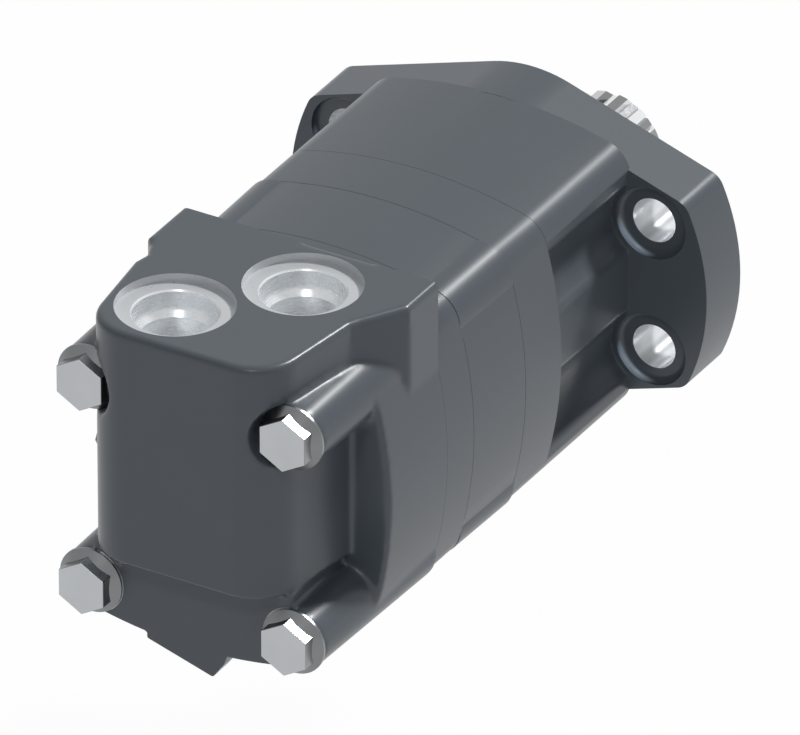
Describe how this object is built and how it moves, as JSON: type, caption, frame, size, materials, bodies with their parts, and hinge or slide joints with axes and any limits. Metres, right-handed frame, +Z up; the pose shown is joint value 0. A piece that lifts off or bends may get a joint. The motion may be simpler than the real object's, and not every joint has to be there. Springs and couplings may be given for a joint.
{
  "type": "orbital hydraulic motor",
  "caption": "Orbital hydraulic motor with a disc valve, two ports on a raised deck, a bolted pilot flange and a splined shaft; the shaft, star, links, valve and bearings turn together.",
  "frame": {"origin": "on the shaft's axis, in the plane of the flange's mounting face", "axes": "+X out along the shaft, +Z up through the ports, +Y to the left when looking from the rear along the shaft"},
  "size_m": [0.241, 0.1344, 0.1077],
  "materials": {
    "cast_paint": "satin grey paint over cast iron",
    "screw_steel": "satin zinc-plated steel",
    "bright_steel": "ground and machined steel",
    "bearing_steel": "hardened and ground steel",
    "plug_steel": "plain steel",
    "cage_brass": "machined brass",
    "rubber": "black nitrile rubber"
  },
  "bodies": {
    "housing": {"valve_housing": "cast_paint", "valve_plate": "cast_paint", "geroler_ring": "cast_paint", "wear_plate": "cast_paint", "bearing_housing": "cast_paint", "housing_screws": "screw_steel", "body_seals": "rubber", "drain_plug": "plug_steel", "drain_plug_seal": "rubber", "shaft_seal": "rubber", "seal_washer": "plug_steel", "dust_seal": "rubber", "front_outer_race": "bearing_steel", "rear_outer_race": "bearing_steel", "balance_ring": "bearing_steel", "balance_pins": "plug_steel", "balance_springs": "plug_steel", "inner_face_seal": "rubber", "outer_face_seal": "rubber"},
    "output_shaft": {"output_shaft": "bright_steel", "front_inner_race": "bearing_steel", "rear_inner_race": "bearing_steel"},
    "front_roller_set": {"front_cage": "cage_brass", "front_bearing_rollers": "bearing_steel"},
    "rear_roller_set": {"rear_cage": "cage_brass", "rear_bearing_rollers": "bearing_steel"},
    "drive_spacer": {"drive_spacer": "plug_steel"},
    "geroler_star": {"geroler_star": "bearing_steel"},
    "drive_link": {"drive_link": "bright_steel"},
    "valve_drive": {"valve_drive": "bright_steel"},
    "rotary_valve": {"rotary_valve": "bearing_steel"},
    "geroler_roller_1": {"geroler_roller_1": "bearing_steel"},
    "geroler_roller_2": {"geroler_roller_2": "bearing_steel"},
    "geroler_roller_3": {"geroler_roller_3": "bearing_steel"},
    "geroler_roller_4": {"geroler_roller_4": "bearing_steel"},
    "geroler_roller_5": {"geroler_roller_5": "bearing_steel"},
    "geroler_roller_6": {"geroler_roller_6": "bearing_steel"},
    "geroler_roller_7": {"geroler_roller_7": "bearing_steel"}
  },
  "joints": [
    {"name": "shaft_spin", "type": "hinge", "parent": "housing", "child": "output_shaft", "pos_m": [0, 0, 0], "axis": [1, 0, 0], "continuous": true},
    {"name": "front_roller_spin", "type": "hinge", "parent": "housing", "child": "front_roller_set", "pos_m": [-0.0266, 0, 0], "axis": [1, 0, 0], "continuous": true},
    {"name": "rear_roller_spin", "type": "hinge", "parent": "housing", "child": "rear_roller_set", "pos_m": [-0.052, 0, 0], "axis": [1, 0, 0], "continuous": true},
    {"name": "star_orbit", "type": "hinge", "parent": "housing", "child": "drive_spacer", "pos_m": [-0.1011, 0, 0], "axis": [1, 0, 0], "continuous": true},
    {"name": "star_spin", "type": "hinge", "parent": "drive_spacer", "child": "geroler_star", "pos_m": [-0.098, 0.0029, 0], "axis": [1, 0, 0], "continuous": true},
    {"name": "link_spin", "type": "hinge", "parent": "drive_spacer", "child": "drive_link", "pos_m": [-0.04, 0, 0], "axis": [0.9985, -0.0552, 0], "continuous": true},
    {"name": "valve_drive_spin", "type": "hinge", "parent": "drive_spacer", "child": "valve_drive", "pos_m": [-0.1391, 0, 0], "axis": [0.9957, 0.0924, 0], "continuous": true},
    {"name": "valve_spin", "type": "hinge", "parent": "housing", "child": "rotary_valve", "pos_m": [-0.133, 0, 0], "axis": [1, 0, 0], "continuous": true},
    {"name": "roller_1_spin", "type": "hinge", "parent": "housing", "child": "geroler_roller_1", "pos_m": [-0.098, 0.03, 0], "axis": [1, 0, 0], "continuous": true},
    {"name": "roller_2_spin", "type": "hinge", "parent": "housing", "child": "geroler_roller_2", "pos_m": [-0.098, 0.0187, 0.02346], "axis": [1, 0, 0], "continuous": true},
    {"name": "roller_3_spin", "type": "hinge", "parent": "housing", "child": "geroler_roller_3", "pos_m": [-0.098, -0.00668, 0.02925], "axis": [1, 0, 0], "continuous": true},
    {"name": "roller_4_spin", "type": "hinge", "parent": "housing", "child": "geroler_roller_4", "pos_m": [-0.098, -0.02703, 0.01302], "axis": [1, 0, 0], "continuous": true},
    {"name": "roller_5_spin", "type": "hinge", "parent": "housing", "child": "geroler_roller_5", "pos_m": [-0.098, -0.02703, -0.01302], "axis": [1, 0, 0], "continuous": true},
    {"name": "roller_6_spin", "type": "hinge", "parent": "housing", "child": "geroler_roller_6", "pos_m": [-0.098, -0.00668, -0.02925], "axis": [1, 0, 0], "continuous": true},
    {"name": "roller_7_spin", "type": "hinge", "parent": "housing", "child": "geroler_roller_7", "pos_m": [-0.098, 0.0187, -0.02346], "axis": [1, 0, 0], "continuous": true}
  ],
  "couplings": [
    {"joint": "front_roller_spin", "follows": "shaft_spin", "ratio": 0.4248},
    {"joint": "rear_roller_spin", "follows": "shaft_spin", "ratio": 0.4441},
    {"joint": "star_orbit", "follows": "shaft_spin", "ratio": -6},
    {"joint": "star_spin", "follows": "shaft_spin", "ratio": 7},
    {"joint": "link_spin", "follows": "shaft_spin", "ratio": 7},
    {"joint": "valve_drive_spin", "follows": "shaft_spin", "ratio": 7},
    {"joint": "valve_spin", "follows": "shaft_spin", "ratio": 1}
  ]
}
